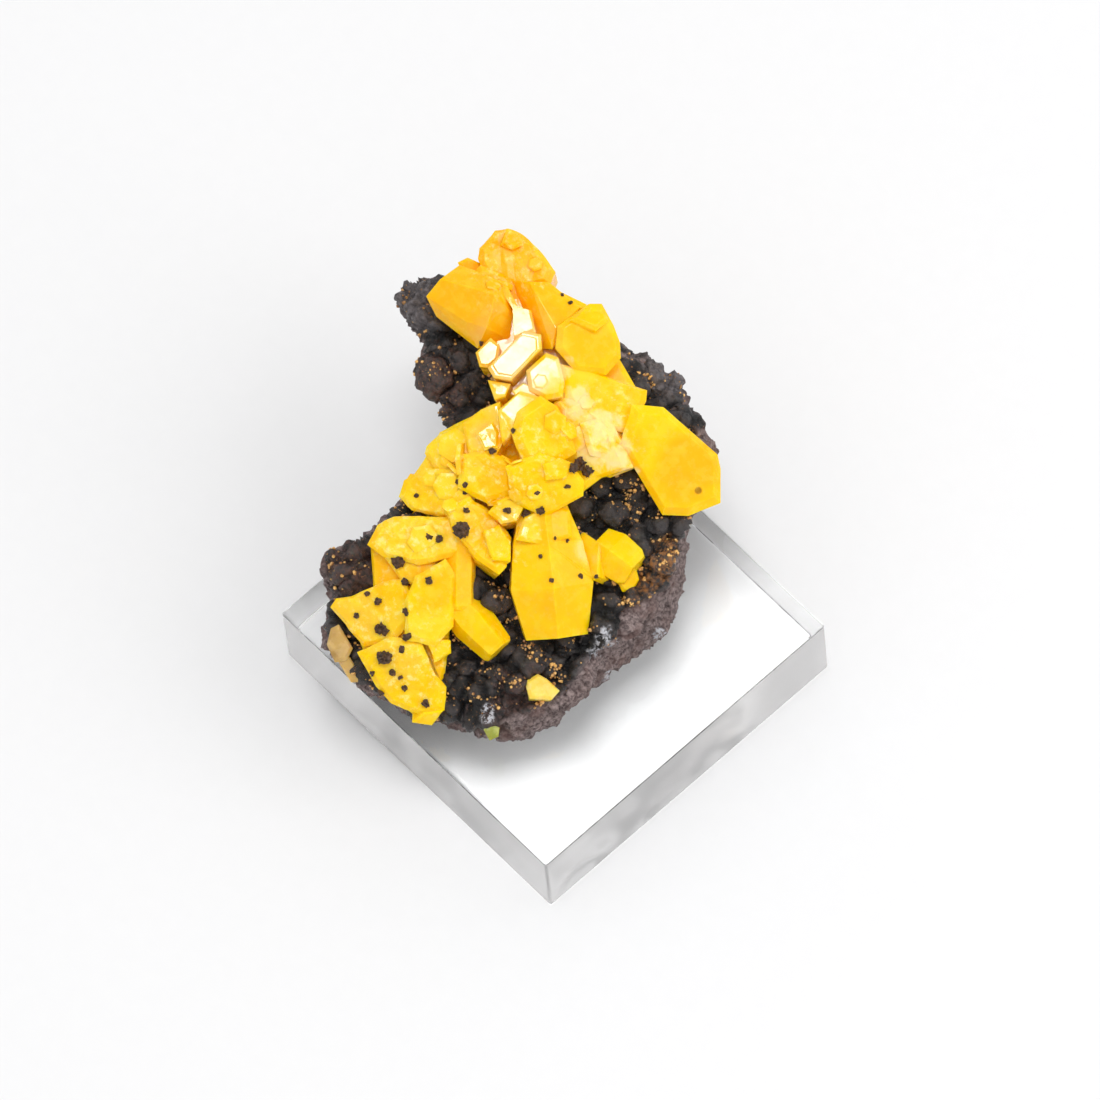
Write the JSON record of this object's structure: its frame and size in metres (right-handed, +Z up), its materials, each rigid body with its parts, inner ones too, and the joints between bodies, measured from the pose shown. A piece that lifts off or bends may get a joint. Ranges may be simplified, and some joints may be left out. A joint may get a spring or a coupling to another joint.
{
  "type": "mimetite specimen",
  "caption": "Yellow hexagonal mimetite crystals on dark lumpy rock, fixed on a clear square acrylic block for display.",
  "frame": {"origin": "middle of the acrylic block's underside", "axes": "+Z up, the block's sides along X and Y, the specimen's crystal face turned toward +X and -Y"},
  "size_m": [0.0517, 0.0446, 0.0336],
  "materials": {
    "clear_acrylic": "clear, polished",
    "rock": "rough, lumpy",
    "yellow_crystal": "glossy, translucent",
    "tan_crystal": "dull",
    "pale_crystal": "slightly glossy",
    "green_crystal": "dull"
  },
  "bodies": {
    "root": {"acrylic_base": "clear_acrylic", "matrix": "rock", "crystal_cluster": "yellow_crystal", "tan_plates": "tan_crystal", "loose_front_crystal": "pale_crystal", "green_crystal": "green_crystal"}
  },
  "joints": []
}
